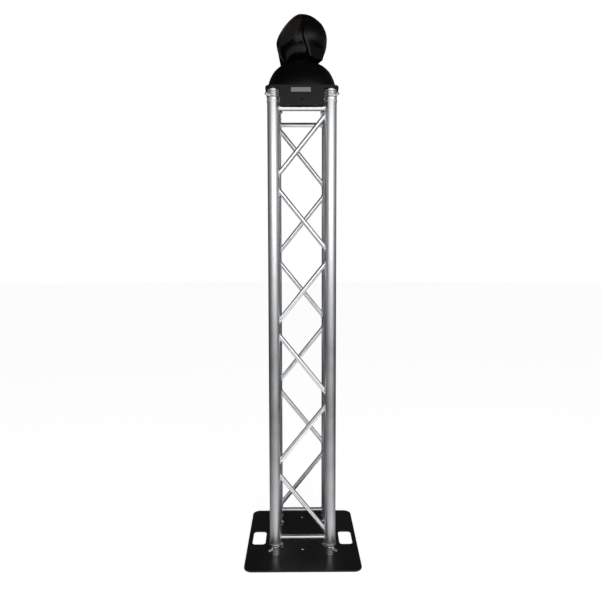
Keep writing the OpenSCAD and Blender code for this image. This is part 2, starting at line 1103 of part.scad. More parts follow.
base_plate();
spigots_at(true);  // base_spigots
spigot_bolts(0, true);  // base_spigot_bolts
color(metal) at_chord(0) chord_tube();  // chord_front_right
color(metal) at_chord(1) chord_tube();  // chord_back_right
color(metal) at_chord(2) chord_tube();  // chord_back_left
color(metal) at_chord(3) chord_tube();  // chord_front_left
receivers_at(true);  // receivers_bottom
receivers_at(false);  // receivers_top
end_braces(brace_low);  // end_braces_bottom
end_braces(brace_high);  // end_braces_top
diagonals_face(0);  // diagonals_front
diagonals_face(1);  // diagonals_right
diagonals_face(2);  // diagonals_back
diagonals_face(3);  // diagonals_left
pins_at(z_bottom + pin_rise);  // taper_pins_bottom
pins_at(z_top - pin_rise);  // taper_pins_top
clips_at(z_bottom + pin_rise);  // spring_clips_bottom
clips_at(z_top - pin_rise);  // spring_clips_top
top_plate();
spigots_at(false);  // top_spigots
spigot_bolts(z_plate, false);  // top_spigot_bolts
fascia();
fascia_screws();
rating_plate();
light_chassis();
chassis_bolts();
dome_cover();
dome_screws();
pan_tower();
pan_bearing();
pan_motor();
motor_bracket();
pan_pinion();
pan_gear();
power_supply();
control_board();
rear_panel();
display_window();
panel_button(0);  // button_menu
panel_button(1);  // button_down
panel_button(2);  // button_up
panel_button(3);  // button_enter
power_inlet();
data_sockets();
yoke();
yoke_caps();
tilt_bearings();
tilt_gear();
tilt_pinion();
tilt_motor();
trunnions();
head_front_shell();
head_rear_shell();
shell_screws();
front_bezel();
lens_array();
led_engine();
fan_frame();
fan_rotor();
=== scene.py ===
import json
import math
import random

import bmesh
import bpy
from mathutils import Matrix, Vector


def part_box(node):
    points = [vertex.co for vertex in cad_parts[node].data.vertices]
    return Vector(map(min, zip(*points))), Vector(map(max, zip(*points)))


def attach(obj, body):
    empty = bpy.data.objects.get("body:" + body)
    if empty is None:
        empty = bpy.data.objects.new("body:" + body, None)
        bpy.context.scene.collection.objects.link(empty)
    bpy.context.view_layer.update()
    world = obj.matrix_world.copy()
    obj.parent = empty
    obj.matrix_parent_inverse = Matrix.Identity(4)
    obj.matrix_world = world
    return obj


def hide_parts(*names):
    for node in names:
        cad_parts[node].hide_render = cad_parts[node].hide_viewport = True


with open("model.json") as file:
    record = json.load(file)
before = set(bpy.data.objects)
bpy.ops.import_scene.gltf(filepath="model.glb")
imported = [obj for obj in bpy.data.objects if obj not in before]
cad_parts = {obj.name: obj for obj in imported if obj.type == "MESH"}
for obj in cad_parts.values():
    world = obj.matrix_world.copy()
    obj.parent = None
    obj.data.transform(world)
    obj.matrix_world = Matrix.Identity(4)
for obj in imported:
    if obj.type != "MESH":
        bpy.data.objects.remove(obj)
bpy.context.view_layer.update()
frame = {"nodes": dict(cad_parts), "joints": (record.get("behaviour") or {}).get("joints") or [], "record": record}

nodes = frame["nodes"]
joints = {joint["name"]: joint for joint in frame["joints"]}
rng = random.Random(17)

# ---------- sizes taken from the frame, in metres ----------

MM = 0.001
truss_z0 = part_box("base_plate")[1].z
truss_z1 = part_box("top_plate")[0].z
chord_low, chord_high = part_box("chord_front_right")
chord_x = (chord_low.x + chord_high.x) / 2          # chord centreline, from the truss axis
chord_r = (chord_high.x - chord_low.x) / 2
brace_low_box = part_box("end_braces_bottom")
brace_high_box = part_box("end_braces_top")
brace_r = (brace_low_box[1].z - brace_low_box[0].z) / 2
brace_low_z = (brace_low_box[0].z + brace_low_box[1].z) / 2
brace_high_z = (brace_high_box[0].z + brace_high_box[1].z) / 2
pin_low_z = sum(corner.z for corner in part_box("taper_pins_bottom")) / 2
pin_high_z = sum(corner.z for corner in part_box("taper_pins_top")) / 2
light_centre = Vector(joints["tilt"]["pos_m"])
tilt_axis = Vector(joints["tilt"]["axis"]).normalized()
beam_axis = Vector(joints["fan_spin"]["axis"]).normalized()
side_axis = beam_axis.cross(tilt_axis).normalized()

DIAGONALS = 6
DIAGONAL_GAP = 12 * MM
DIAGONAL_LOW = 9 * MM              # above the lower end brace
DIAGONAL_HIGH = 1 * MM             # below the upper end brace


# ---------- camera ----------

CAMERA_PLACE = (-0.0221, -2.170, 1.272)
CAMERA_YAW = 0.00707                                # in radians, to the right
CAMERA_PITCH = 0.0688                               # downwards
CAMERA_ROLL = -0.0019
CAMERA_LENS = 28.74                                 # in mm, on a sensor 36 mm wide


def make_camera():
    """Chest high in front of the truss, straight on, tipped down a little."""
    data = bpy.data.cameras.new("camera")
    data.lens = CAMERA_LENS
    data.sensor_width = 36.0
    camera = bpy.data.objects.new("camera", data)
    bpy.context.scene.collection.objects.link(camera)
    level = math.cos(CAMERA_PITCH)
    forward = Vector((math.sin(CAMERA_YAW) * level, math.cos(CAMERA_YAW) * level, -math.sin(CAMERA_PITCH)))
    turn = forward.to_track_quat("-Z", "Y").to_matrix().to_4x4()
    roll = Matrix.Rotation(CAMERA_ROLL, 4, "Z")
    camera.matrix_world = Matrix.Translation(CAMERA_PLACE) @ turn @ roll
    bpy.context.scene.camera = camera


make_camera()


# ---------- material helpers ----------

class Paint:
    """A principled material with short calls for the procedural nodes that feed it.
    Further settings are the shader's inputs by name, with _ for a space."""

    def __init__(self, name, metallic=0.0, roughness=0.5, colour=(0.5, 0.5, 0.5), **settings):
        self.material = bpy.data.materials.new(name)
        self.material.use_nodes = True
        self.tree = self.material.node_tree
        self.tree.nodes.clear()
        self.shader = self.add("ShaderNodeBsdfPrincipled")
        output = self.add("ShaderNodeOutputMaterial")
        self.join(self.shader.outputs[0], output.inputs["Surface"])
        self.shader.inputs["Metallic"].default_value = metallic
        self.shader.inputs["Roughness"].default_value = roughness
        self.shader.inputs["Base Color"].default_value = (*colour, 1)
        for key, value in settings.items():
            self.shader.inputs[key.replace("_", " ")].default_value = value
        self.coords = self.add("ShaderNodeTexCoord").outputs["Object"]

    def add(self, kind):
        return self.tree.nodes.new(kind)

    def join(self, a, b):
        self.tree.links.new(a, b)

    def stretched(self, scale, rotation=(0, 0, 0)):
        node = self.add("ShaderNodeMapping")
        node.inputs["Scale"].default_value = scale
        node.inputs["Rotation"].default_value = rotation
        self.join(self.coords, node.inputs["Vector"])
        return node.outputs["Vector"]

    def noise(self, scale, detail=3.0, roughness=0.55, distortion=0.0, vector=None):
        node = self.add("ShaderNodeTexNoise")
        node.inputs["Scale"].default_value = scale
        node.inputs["Detail"].default_value = detail
        node.inputs["Roughness"].default_value = roughness
        node.inputs["Distortion"].default_value = distortion
        self.join(vector or self.coords, node.inputs["Vector"])
        return node.outputs["Fac"]

    def cells(self, scale, randomness=1.0):
        node = self.add("ShaderNodeTexVoronoi")
        node.inputs["Scale"].default_value = scale
        node.inputs["Randomness"].default_value = randomness
        self.join(self.coords, node.inputs["Vector"])
        return node.outputs["Distance"]

    def ramp(self, fac, *stops):
        """A colour ramp over fac; stops are (place, value) or (place, colour)."""
        node = self.add("ShaderNodeValToRGB")
        elements = node.color_ramp.elements
        while len(elements) < len(stops):
            elements.new(0.5)
        for element, (place, value) in zip(elements, stops):
            element.position = place
            rgb = value if hasattr(value, "__len__") else (value, value, value)
            element.color = (*rgb, 1)
        self.join(fac, node.inputs["Fac"])
        return node.outputs["Color"]

    def maths(self, operation, a, b):
        node = self.add("ShaderNodeMath")
        node.operation = operation
        for value, socket in ((a, node.inputs[0]), (b, node.inputs[1])):
            if isinstance(value, (int, float)):
                socket.default_value = value
            else:
                self.join(value, socket)
        return node.outputs["Value"]

    def total(self, first, *others):
        for other in others:
            first = self.maths("ADD", first, other)
        return first

    def scaled(self, source, factor):
        return self.maths("MULTIPLY", source, factor)

    def mixed(self, fac, a, b):
        node = self.add("ShaderNodeMix")
        node.data_type = "RGBA"
        sockets = {s.identifier: s for s in node.inputs}
        self.join(fac, sockets["Factor_Float"])
        for value, socket in ((a, sockets["A_Color"]), (b, sockets["B_Color"])):
            if isinstance(value, tuple):
                socket.default_value = (*value, 1)
            else:
                self.join(value, socket)
        return next(s for s in node.outputs if s.identifier == "Result_Color")

    def colour_from(self, source):
        self.join(source, self.shader.inputs["Base Color"])

    def roughness_from(self, source):
        self.join(source, self.shader.inputs["Roughness"])

    def bumps(self, *layers):
        """Each layer is (height, strength, depth in metres)."""
        normal = None
        for height, strength, depth in layers:
            node = self.add("ShaderNodeBump")
            node.inputs["Strength"].default_value = strength
            node.inputs["Distance"].default_value = depth
            self.join(height, node.inputs["Height"])
            if normal is not None:
                self.join(normal, node.inputs["Normal"])
            normal = node.outputs["Normal"]
        self.join(normal, self.shader.inputs["Normal"])


# ---------- materials ----------

def extruded_aluminium(name, along, dull=0.21, tone=0.58):
    """Mill-finish tube: fine draw lines, dull smudges and a few scuffs. along gives the scale of
    the lines on each axis, dull the lowest roughness and tone the darkest grey."""
    paint = Paint(name, metallic=1.0)
    streaks = paint.noise(1.0, 4, 0.6, vector=paint.stretched(along))
    smudges = paint.noise(7.0, 4, 0.6, 0.4)
    grain = paint.noise(420.0, 2)
    scuffs = paint.ramp(paint.noise(60.0, 5, 0.7, 1.2), (0.62, 0.0), (0.7, 1.0))
    mix = paint.total(paint.scaled(streaks, 0.55), paint.scaled(smudges, 0.45))
    dark = (tone, tone + 0.01, tone + 0.03)
    pale = (tone + 0.18, tone + 0.19, tone + 0.20)
    paint.colour_from(paint.mixed(scuffs, paint.ramp(mix, (0.3, dark), (0.7, pale)), pale))
    paint.roughness_from(paint.total(paint.scaled(smudges, 0.22), paint.scaled(streaks, 0.12), dull,
                                     paint.scaled(scuffs, 0.12)))
    paint.bumps((streaks, 0.25, 0.00008), (grain, 0.12, 0.00005))
    return paint.material


def machined_aluminium(name):
    """Turned receivers and spigots: bright, with fine rings left by the tool."""
    paint = Paint(name, metallic=1.0)
    rings = paint.noise(1.0, 3, 0.6, vector=paint.stretched((3, 3, 1400)))
    marks = paint.noise(38.0, 4, 0.6, 0.6)
    paint.colour_from(paint.ramp(marks, (0.3, (0.88, 0.89, 0.90)), (0.7, (0.95, 0.955, 0.96))))
    paint.roughness_from(paint.ramp(paint.scaled(marks, rings), (0.1, 0.13), (0.5, 0.20)))
    paint.bumps((rings, 0.10, 0.00003))
    return paint.material


def weld_metal(name):
    """Bare weld bead: bright silver with a frosted, slightly sooty foot."""
    paint = Paint(name, metallic=1.0)
    soot = paint.noise(140.0, 4, 0.65)
    frost = paint.noise(900.0, 3)
    paint.colour_from(paint.ramp(soot, (0.3, (0.62, 0.61, 0.60)), (0.65, (0.90, 0.90, 0.89))))
    paint.roughness_from(paint.ramp(frost, (0.3, 0.28), (0.7, 0.46)))
    paint.bumps((frost, 0.3, 0.0001))
    return paint.material


def zinc(name):
    """Zinc-plated steel with a faint mottled sheen."""
    paint = Paint(name, metallic=1.0)
    mottle = paint.cells(260.0)
    stain = paint.noise(45.0, 4)
    paint.colour_from(paint.ramp(stain, (0.3, (0.60, 0.61, 0.62)), (0.7, (0.78, 0.78, 0.76))))
    paint.roughness_from(paint.ramp(mottle, (0.0, 0.24), (0.8, 0.40)))
    paint.bumps((mottle, 0.15, 0.00006))
    return paint.material


def powder_coat(name, colour=(0.013, 0.013, 0.015), worn=0.5, shine=0.5):
    """Black powder coat: fine orange peel, dull footmarks and pale scratches."""
    paint = Paint(name, Specular_IOR_Level=shine)
    peel = paint.noise(650.0, 2, 0.4)
    smears = paint.noise(9.0, 5, 0.6, 0.8)
    slanting = paint.stretched((30, 260, 120), (0, 0, 0.6))
    scratch = paint.ramp(paint.noise(1.0, 6, 0.75, 0.3, vector=slanting), (0.66, 0.0), (0.70, 1.0))
    dust = paint.ramp(paint.noise(1500.0, 2, 0.6), (0.72, 0.0), (0.8, 1.0))
    pale = tuple(c + 0.05 * worn for c in colour)
    marked = paint.mixed(paint.scaled(scratch, worn), colour, pale)
    paint.colour_from(paint.mixed(paint.scaled(dust, 0.35), marked, (0.12, 0.12, 0.12)))
    paint.roughness_from(paint.ramp(smears, (0.25, 0.26), (0.75, 0.42)))
    paint.bumps((peel, 0.3, 0.00008), (scratch, 0.1, 0.00004))
    return paint.material


def gloss_shell(name):
    """Glossy black moulding: near mirror, with hairlines, fingermarks and a little dust."""
    paint = Paint(name, Specular_IOR_Level=0.16)
    prints = paint.noise(16.0, 5, 0.6, 0.6)
    slanting = paint.stretched((500, 60, 90), (0.4, 0.7, 0.2))
    hair = paint.ramp(paint.noise(1.0, 5, 0.8, 0.2, vector=slanting), (0.64, 0.0), (0.72, 1.0))
    dust = paint.ramp(paint.noise(900.0, 2, 0.5), (0.70, 0.0), (0.78, 1.0))
    wave = paint.noise(22.0, 2, 0.4)
    paint.colour_from(paint.mixed(paint.scaled(dust, 0.25), (0.0025, 0.0025, 0.003), (0.03, 0.03, 0.03)))
    base = paint.ramp(prints, (0.3, 0.15), (0.75, 0.27))
    paint.roughness_from(paint.total(base, paint.scaled(hair, 0.08)))
    paint.bumps((wave, 0.04, 0.0006), (hair, 0.05, 0.00003))
    return paint.material


def moulded(name, colour, low, high):
    """Satin plastic or rubber with a fine spark-eroded grain."""
    paint = Paint(name)
    grain = paint.cells(1200.0)
    blotch = paint.noise(30.0, 4)
    darker = tuple(c * 0.8 for c in colour)
    paint.colour_from(paint.ramp(blotch, (0.3, darker), (0.7, colour)))
    paint.roughness_from(paint.ramp(blotch, (0.3, low), (0.7, high)))
    paint.bumps((grain, 0.25, 0.00008))
    return paint.material


def plain_metal(name, colour, low=0.3, high=0.5):
    """Sheet or cast metal inside the light, with rolling marks."""
    paint = Paint(name, metallic=1.0)
    rolled = paint.noise(1.0, 4, 0.6, vector=paint.stretched((25, 420, 420)))
    paint.colour_from(paint.ramp(rolled, (0.3, tuple(c * 0.86 for c in colour)), (0.7, colour)))
    paint.roughness_from(paint.ramp(rolled, (0.3, low), (0.7, high)))
    paint.bumps((rolled, 0.12, 0.00006))
    return paint.material


def lens_plastic(name):
    """Moulded optics over warm white diodes, seen unlit: smoky, brownish and glossy."""
    paint = Paint(name, Specular_IOR_Level=0.3)
    facets = paint.cells(230.0, randomness=0.6)
    haze = paint.noise(60.0, 3)
    paint.colour_from(paint.mixed(haze, (0.014, 0.010, 0.007), (0.034, 0.027, 0.018)))
    paint.roughness_from(paint.ramp(facets, (0.0, 0.26), (0.8, 0.38)))
    paint.bumps((facets, 0.25, 0.0003))
    return paint.material


def circuit_green(name):
    """Solder resist with tracks just under its surface."""
    paint = Paint(name, roughness=0.35, Coat_Weight=0.3)
    tracks = paint.ramp(paint.cells(160.0, randomness=0.2), (0.35, 0.0), (0.4, 1.0))
    paint.colour_from(paint.mixed(tracks, (0.008, 0.06, 0.025), (0.02, 0.13, 0.05)))
    paint.bumps((tracks, 0.2, 0.00005))
    return paint.material


def dark_glass(name):
    """Display window: smoked clear plastic over a dark panel."""
    paint = Paint(name, colour=(0.01, 0.016, 0.022), Coat_Weight=1.0, Coat_Roughness=0.03)
    smear = paint.noise(80.0, 4)
    paint.roughness_from(paint.ramp(smear, (0.3, 0.05), (0.7, 0.16)))
    return paint.material


UPRIGHT = (700, 700, 5)
SLOPING = (90, 90, 60)
tube_metal = extruded_aluminium("tube_aluminium", UPRIGHT)
# The braces' aluminium is the tube aluminium with a lighter tone (0.74 against 0.58): the extra lightness is
# painted light, standing in for the brighter light the braces catch.
brace_metal_painted_lighter = extruded_aluminium("brace_aluminium_painted_lighter", SLOPING, 0.18, 0.74)
bright_metal = machined_aluminium("machined_aluminium")
bead_metal = weld_metal("weld_metal")
zinc_metal = zinc("zinc_steel")
black_coat = powder_coat("powder_coat")
plate_coat = powder_coat("plate_paint", (0.004, 0.004, 0.0045), 0.25, 0.2)
fascia_coat = powder_coat("fascia_paint", (0.013, 0.0122, 0.0135), 0.25, 0.14)
shell_gloss = gloss_shell("gloss_shell")
trim_black = moulded("satin_trim", (0.008, 0.008, 0.009), 0.35, 0.5)
rubber_black = moulded("button_rubber", (0.05, 0.05, 0.055), 0.55, 0.7)
socket_black = moulded("socket_black", (0.02, 0.02, 0.023), 0.4, 0.55)
inlet_blue = moulded("inlet_blue", (0.03, 0.09, 0.32), 0.35, 0.5)
lens_clear = lens_plastic("lens_clear")
foil_metal = plain_metal("label_foil", (0.20, 0.20, 0.20), 0.35, 0.5)
sheet_metal = plain_metal("inner_sheet_metal", (0.62, 0.63, 0.64))
cast_metal = plain_metal("inner_aluminium", (0.68, 0.69, 0.71))
bearing_metal = plain_metal("bearing_steel", (0.62, 0.63, 0.65), 0.15, 0.28)
gear_metal = plain_metal("gear_brass", (0.72, 0.55, 0.27), 0.2, 0.35)
bolt_metal = plain_metal("bolt_black", (0.07, 0.07, 0.075), 0.35, 0.5)
motor_black = powder_coat("motor_case", (0.02, 0.02, 0.022), 0.2)
board_green = circuit_green("circuit_board")
window_glass = dark_glass("display_glass")

BY_SLOT = {
    "powder_coat": black_coat, "bolt_black": bolt_metal, "machined_aluminium": bright_metal,
    "tube_aluminium": tube_metal, "zinc_steel": zinc_metal, "fascia_paint": fascia_coat,
    "label_foil": foil_metal, "inner_sheet_metal": sheet_metal, "gloss_shell": shell_gloss,
    "satin_trim": trim_black, "inner_aluminium": cast_metal, "bearing_steel": bearing_metal,
    "motor_case": motor_black, "gear_brass": gear_metal, "circuit_board": board_green,
    "display_glass": window_glass, "button_rubber": rubber_black, "inlet_blue": inlet_blue,
    "socket_black": socket_black, "lens_clear": lens_clear,
}
SLOT_OF = {part["node"]: part["material_slot"] for part in frame["record"]["subparts"]}


def dress_nodes():
    """Gives every CAD node the material of its slot; the braces get a lighter copy of the tube aluminium, whose
    extra lightness is painted light, and the top plate has its own.
    """
    for name, slot in SLOT_OF.items():
        chosen = BY_SLOT[slot]
        if name.startswith(("diagonals", "end_braces")):
            chosen = brace_metal_painted_lighter
        if name == "top_plate":
            chosen = plate_coat
        for place in nodes[name].material_slots:
            place.material = chosen


dress_nodes()


# ---------- mesh helpers ----------

def shade(obj, smooth=35):
    """Smooth shading, with edges sharper than smooth degrees left crisp."""
    obj.data.shade_smooth()
    obj.data.set_sharp_from_angle(angle=math.radians(smooth))


def adopt(obj, material, body):
    """Gives an object its material and puts it on a CAD body."""
    obj.data.materials.clear()
    obj.data.materials.append(material)
    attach(obj, body)
    return obj


def raw_object(name, mesh_maker):
    """An object from a bmesh that mesh_maker fills."""
    bm = bmesh.new()
    mesh_maker(bm)
    bmesh.ops.recalc_face_normals(bm, faces=bm.faces)
    mesh = bpy.data.meshes.new(name)
    bm.to_mesh(mesh)
    bm.free()
    obj = bpy.data.objects.new(name, mesh)
    bpy.context.scene.collection.objects.link(obj)
    return obj


def piece(name, mesh_maker, material, body, smooth=35, replaces=()):
    """A finished piece of the visual model, in place of the CAD nodes in replaces."""
    obj = adopt(raw_object(name, mesh_maker), material, body)
    shade(obj, smooth)
    if replaces:
        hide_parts(*replaces)
    return obj


def settled(obj):
    """Applies an object's modifiers to its mesh."""
    graph = bpy.context.evaluated_depsgraph_get()
    mesh = bpy.data.meshes.new_from_object(obj.evaluated_get(graph))
    old = obj.data
    obj.modifiers.clear()
    obj.data = mesh
    bpy.data.meshes.remove(old)


def carve(obj, cutter_maker):
    """Cuts the solids that cutter_maker draws out of an object."""
    cutter = raw_object(obj.name + "_cutter", cutter_maker)
    cut = obj.modifiers.new("cut", "BOOLEAN")
    cut.operation = "DIFFERENCE"
    cut.solver = "EXACT"
    cut.object = cutter
    settled(obj)
    bpy.data.objects.remove(cutter)


def soften(node, width, body):
    """A copy of a CAD node with its sharp edges rounded, in place of the node."""
    source = nodes[node]
    bm = bmesh.new()
    bm.from_mesh(source.data)
    bmesh.ops.remove_doubles(bm, verts=bm.verts, dist=2e-6)
    bmesh.ops.dissolve_limit(bm, angle_limit=math.radians(0.1), verts=bm.verts, edges=bm.edges)
    mesh = bpy.data.meshes.new(node + "_finished")
    bm.to_mesh(mesh)
    bm.free()
    obj = bpy.data.objects.new(node + "_finished", mesh)
    bpy.context.scene.collection.objects.link(obj)
    obj.data.shade_smooth()
    edge = obj.modifiers.new("edge", "BEVEL")
    edge.width = width
    edge.segments = 2
    edge.limit_method = "ANGLE"
    edge.angle_limit = math.radians(30)
    edge.use_clamp_overlap = True
    weight = obj.modifiers.new("weight", "WEIGHTED_NORMAL")
    weight.mode = "FACE_AREA"
    weight.weight = 100
    settled(obj)
    adopt(obj, source.material_slots[0].material, body)
    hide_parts(node)


def turned_mm(bm, outline, place, segments=48):
    """A solid of revolution about place's Z axis. An outline point is (radius, height) in mm;
    the outline is a closed loop, or starts and ends on the axis."""
    rings = []
    for r, z in [(r * MM, z * MM) for r, z in outline]:
        if r == 0:
            rings.append([bm.verts.new(place @ Vector((0, 0, z)))])
            continue
        rings.append([bm.verts.new(place @ Vector((r * math.cos(a), r * math.sin(a), z)))
                      for a in (math.tau * k / segments for k in range(segments))])
    pairs = list(zip(rings, rings[1:]))
    if outline[0][0] > 0:
        pairs.append((rings[-1], rings[0]))
    for a, b in pairs:
        if len(a) == 1 or len(b) == 1:
            tip, rim = (a[0], b) if len(a) == 1 else (b[0], a)
            for k in range(len(rim)):
                bm.faces.new((tip, rim[k], rim[(k + 1) % len(rim)]))
        else:
            bridge(bm, a, b)


def bridge(bm, a, b, shift=0):
    """A band of faces between two rings; shift turns the second one on by some points."""
    n = len(a)
    for k in range(n):
        bm.faces.new((a[k], a[(k + 1) % n], b[(k + 1 + shift) % n], b[(k + shift) % n]))


def sweep(bm, path, radius_at, sides=8, closed=True):
    """A round bar along path; radius_at(i) is its radius at point i."""
    count = len(path)
    rings = []
    for i, point in enumerate(path):
        before = path[i - 1] if closed or i else path[i]
        after = path[(i + 1) % count] if closed or i < count - 1 else path[i]
        forward = (after - before).normalized()
        guide = Vector((0, 0, 1)) if abs(forward.z) < 0.95 else Vector((1, 0, 0))
        if i == 0:
            across = forward.cross(guide).normalized()
        else:
            across = (across - forward * across.dot(forward)).normalized()
        up = forward.cross(across)
        r = radius_at(i)
        rings.append([bm.verts.new(point + (across * math.cos(a) + up * math.sin(a)) * r)
                      for a in (math.tau * k / sides for k in range(sides))])
    for a, b in zip(rings, rings[1:]):
        bridge(bm, a, b)
    last, first = rings[-1], rings[0]
    if closed:
        shift = min(range(sides), key=lambda s: (last[0].co - first[s].co).length)
        bridge(bm, last, first, shift)
    else:
        bm.faces.new(first)
        bm.faces.new(last)


def smooth_path(points, steps=6):
    """A curve through points (Catmull-Rom)."""
    ends = [points[0] * 2 - points[1], *points, points[-1] * 2 - points[-2]]
    path = []
    for a, b, c, d in zip(ends, ends[1:], ends[2:], ends[3:]):
        for k in range(steps):
            t = k / steps
            path.append(0.5 * (2 * b + (c - a) * t + (2 * a - 5 * b + 4 * c - d) * t * t
                               + (3 * b - a - 3 * c + d) * t ** 3))
    path.append(points[-1])
    return path


def axes(origin, z_axis, x_hint=(0, 0, 1)):
    """A frame at origin whose Z axis points along z_axis."""
    z = Vector(z_axis).normalized()
    hint = Vector(x_hint)
    x = (hint - z * hint.dot(z)).normalized()
    y = z.cross(x)
    return Matrix.Translation(origin) @ Matrix((x, y, z)).transposed().to_4x4()


# ---------- truss: weld beads ----------

BEAD_R = 2.3 * MM                                   # round the end of a brace
BEAD_RIPPLE = 0.35 * MM
RING_BEAD_R = 2.1 * MM                              # between a receiver and its tube
RING_BEAD_RIPPLE = 0.12 * MM
RING_BEAD_WAVES = 45


def brace_lines():
    """Ends of every brace and diagonal, as (start, end) on the chord centrelines."""
    low = brace_low_z + DIAGONAL_LOW
    high = brace_high_z - DIAGONAL_HIGH
    rise = (high - low - (DIAGONALS - 1) * DIAGONAL_GAP) / DIAGONALS
    face = [(brace_low_z, brace_low_z), (brace_high_z, brace_high_z)]
    for i in range(DIAGONALS):
        upper = high - i * (rise + DIAGONAL_GAP)
        face.append((upper, upper - rise) if i % 2 == 0 else (upper - rise, upper))
    lines = []
    for quarter in range(4):
        turn = Matrix.Rotation(quarter * math.pi / 2, 3, "Z")
        for right_z, left_z in face:
            lines.append((quarter, turn @ Vector((chord_x, -chord_x, right_z)),
                          turn @ Vector((-chord_x, -chord_x, left_z))))
    return lines


def saddle(start, end, points):
    """The line just outside the brace's skin where it meets the chord at its start."""
    along = (end - start).normalized()
    across = along.cross(Vector((0, 0, 1))).normalized()
    up = across.cross(along)
    flat = Vector((along.x, along.y))
    path = []
    for k in range(points):
        a = math.tau * k / points
        offset = (across * math.cos(a) + up * math.sin(a)) * (brace_r + 0.8 * MM)
        o = Vector((offset.x, offset.y))
        reach = chord_r + 0.3 * MM
        b = o.dot(flat)
        c = o.length_squared - reach * reach
        travel = (-b + math.sqrt(b * b - flat.length_squared * c)) / flat.length_squared
        path.append(start + offset + along * travel)
    return path


def rippled_bead(bm, path, size, ripple, phase, waves):
    """A closed weld bead whose thickness rises and falls along it."""
    step = math.tau * waves / len(path)
    sweep(bm, path, lambda i: size + ripple * math.sin(phase + i * step))


def weld_beads(quarter_wanted):
    def build(bm):
        for quarter, start, end in brace_lines():
            if quarter != quarter_wanted:
                continue
            for a, b in ((start, end), (end, start)):
                phase = rng.uniform(0, math.tau)
                waves = rng.choice((14, 16, 18))
                rippled_bead(bm, saddle(a, b, 96), BEAD_R, BEAD_RIPPLE, phase, waves)
    return build


for quarter, face in enumerate(("front", "right", "back", "left")):
    piece("weld_beads_" + face, weld_beads(quarter), bead_metal, "stand", 60)


def ring_welds(bm):
    """Bead between each receiver and its chord tube."""
    points = 270
    r = chord_r + 0.4 * MM
    for x in (-chord_x, chord_x):
        for y in (-chord_x, chord_x):
            for z in (chord_low.z, chord_high.z):
                phase = rng.uniform(0, math.tau)
                path = [Vector((x + r * math.cos(a), y + r * math.sin(a), z))
                        for a in (math.tau * k / points for k in range(points))]
                rippled_bead(bm, path, RING_BEAD_R, RING_BEAD_RIPPLE, phase, RING_BEAD_WAVES)


piece("ring_welds", ring_welds, bead_metal, "stand", 60)


# ---------- truss: conical couplers ----------

def corner_frames(z, flip):
    """A frame at each chord: X points outwards, Z into the truss."""
    for quarter in range(4):
        turn = Matrix.Rotation(quarter * math.pi / 2 - math.pi / 4, 4, "Z")
        place = turn @ Matrix.Translation((chord_x * math.sqrt(2), 0, 0))
        yield Matrix.Translation((0, 0, z)) @ place @ Matrix.Scale(-1 if flip else 1, 4, (0, 0, 1))


shown = chord_low.z - truss_z0                      # receiver outside the chord
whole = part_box("receivers_bottom")[1].z - truss_z0  # with its plug
shoulder_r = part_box("receivers_bottom")[1].x - chord_x
pin_rise = pin_low_z - truss_z0                     # pin's axis from the receiver's mouth
GROOVES = (6, 13.5, 21, 28.5)                       # turned rings, in mm from the mouth
PIN_HALF = 42 * MM                                  # half a pin's length
CLIP_PLACE = -36 * MM                               # from the chord's centre, inwards
CLIP_WIRE_R = 1.3 * MM
CLIP_CURVE = ((0, 10), (0, 4), (0, -4), (0, -9.5), (0.2, -12), (1.2, -14.4), (3.6, -15.5),
              (6.1, -14.4), (7.0, -12), (5.9, -9.4), (5.7, -7.6), (6.6, -4.6), (7.05, 0),
              (6.3, 4.4), (5.2, 6.3), (6.6, 8.8))


def receiver_profile(depth):
    """Outline of a receiver in mm from its mouth inwards, with grooves of a given depth."""
    outer = [(20.6, 0), (24.2, 0), (25, 0.8)]
    for place in GROOVES:
        outer += [(25, place - 0.7), (25 - depth, place), (25, place + 2.3)]
    barrel = chord_r / MM
    rim = shoulder_r / MM
    step = shown / MM - 10
    mouth_end = shown / MM
    plug_end = whole / MM
    shoulder = [(barrel, step - 1.2), (barrel - 0.6, step - 0.4), (rim - 0.6, step), (rim, step + 0.6),
                (rim, step + 2.4), (rim - 0.6, step + 3), (barrel - 0.7, step + 3.6),
                (barrel - 0.7, mouth_end - 2), (barrel, mouth_end - 1.2), (barrel, mouth_end)]
    plug = [(23, mouth_end), (23, plug_end - 2), (21, plug_end), (17.6, plug_end), (17.7, mouth_end)]
    return outer + shoulder + plug


def pin_profile():
    """Outline in mm of a tapered pin from its inner to its outer end, centred on the chord."""
    half = PIN_HALF / MM
    return [(0, -half), (4.3, -half), (5.5, -half + 1.3), (6.3, half - 1.6), (5.9, half - 0.7),
            (5.0, half), (1.6, half), (0, half - 1.2)]


def outward(place, height):
    """The frame of a pin in a corner frame: its Z axis points out of the truss."""
    return place @ Matrix.Translation((0, 0, height)) @ Matrix.Rotation(math.pi / 2, 4, "Y")


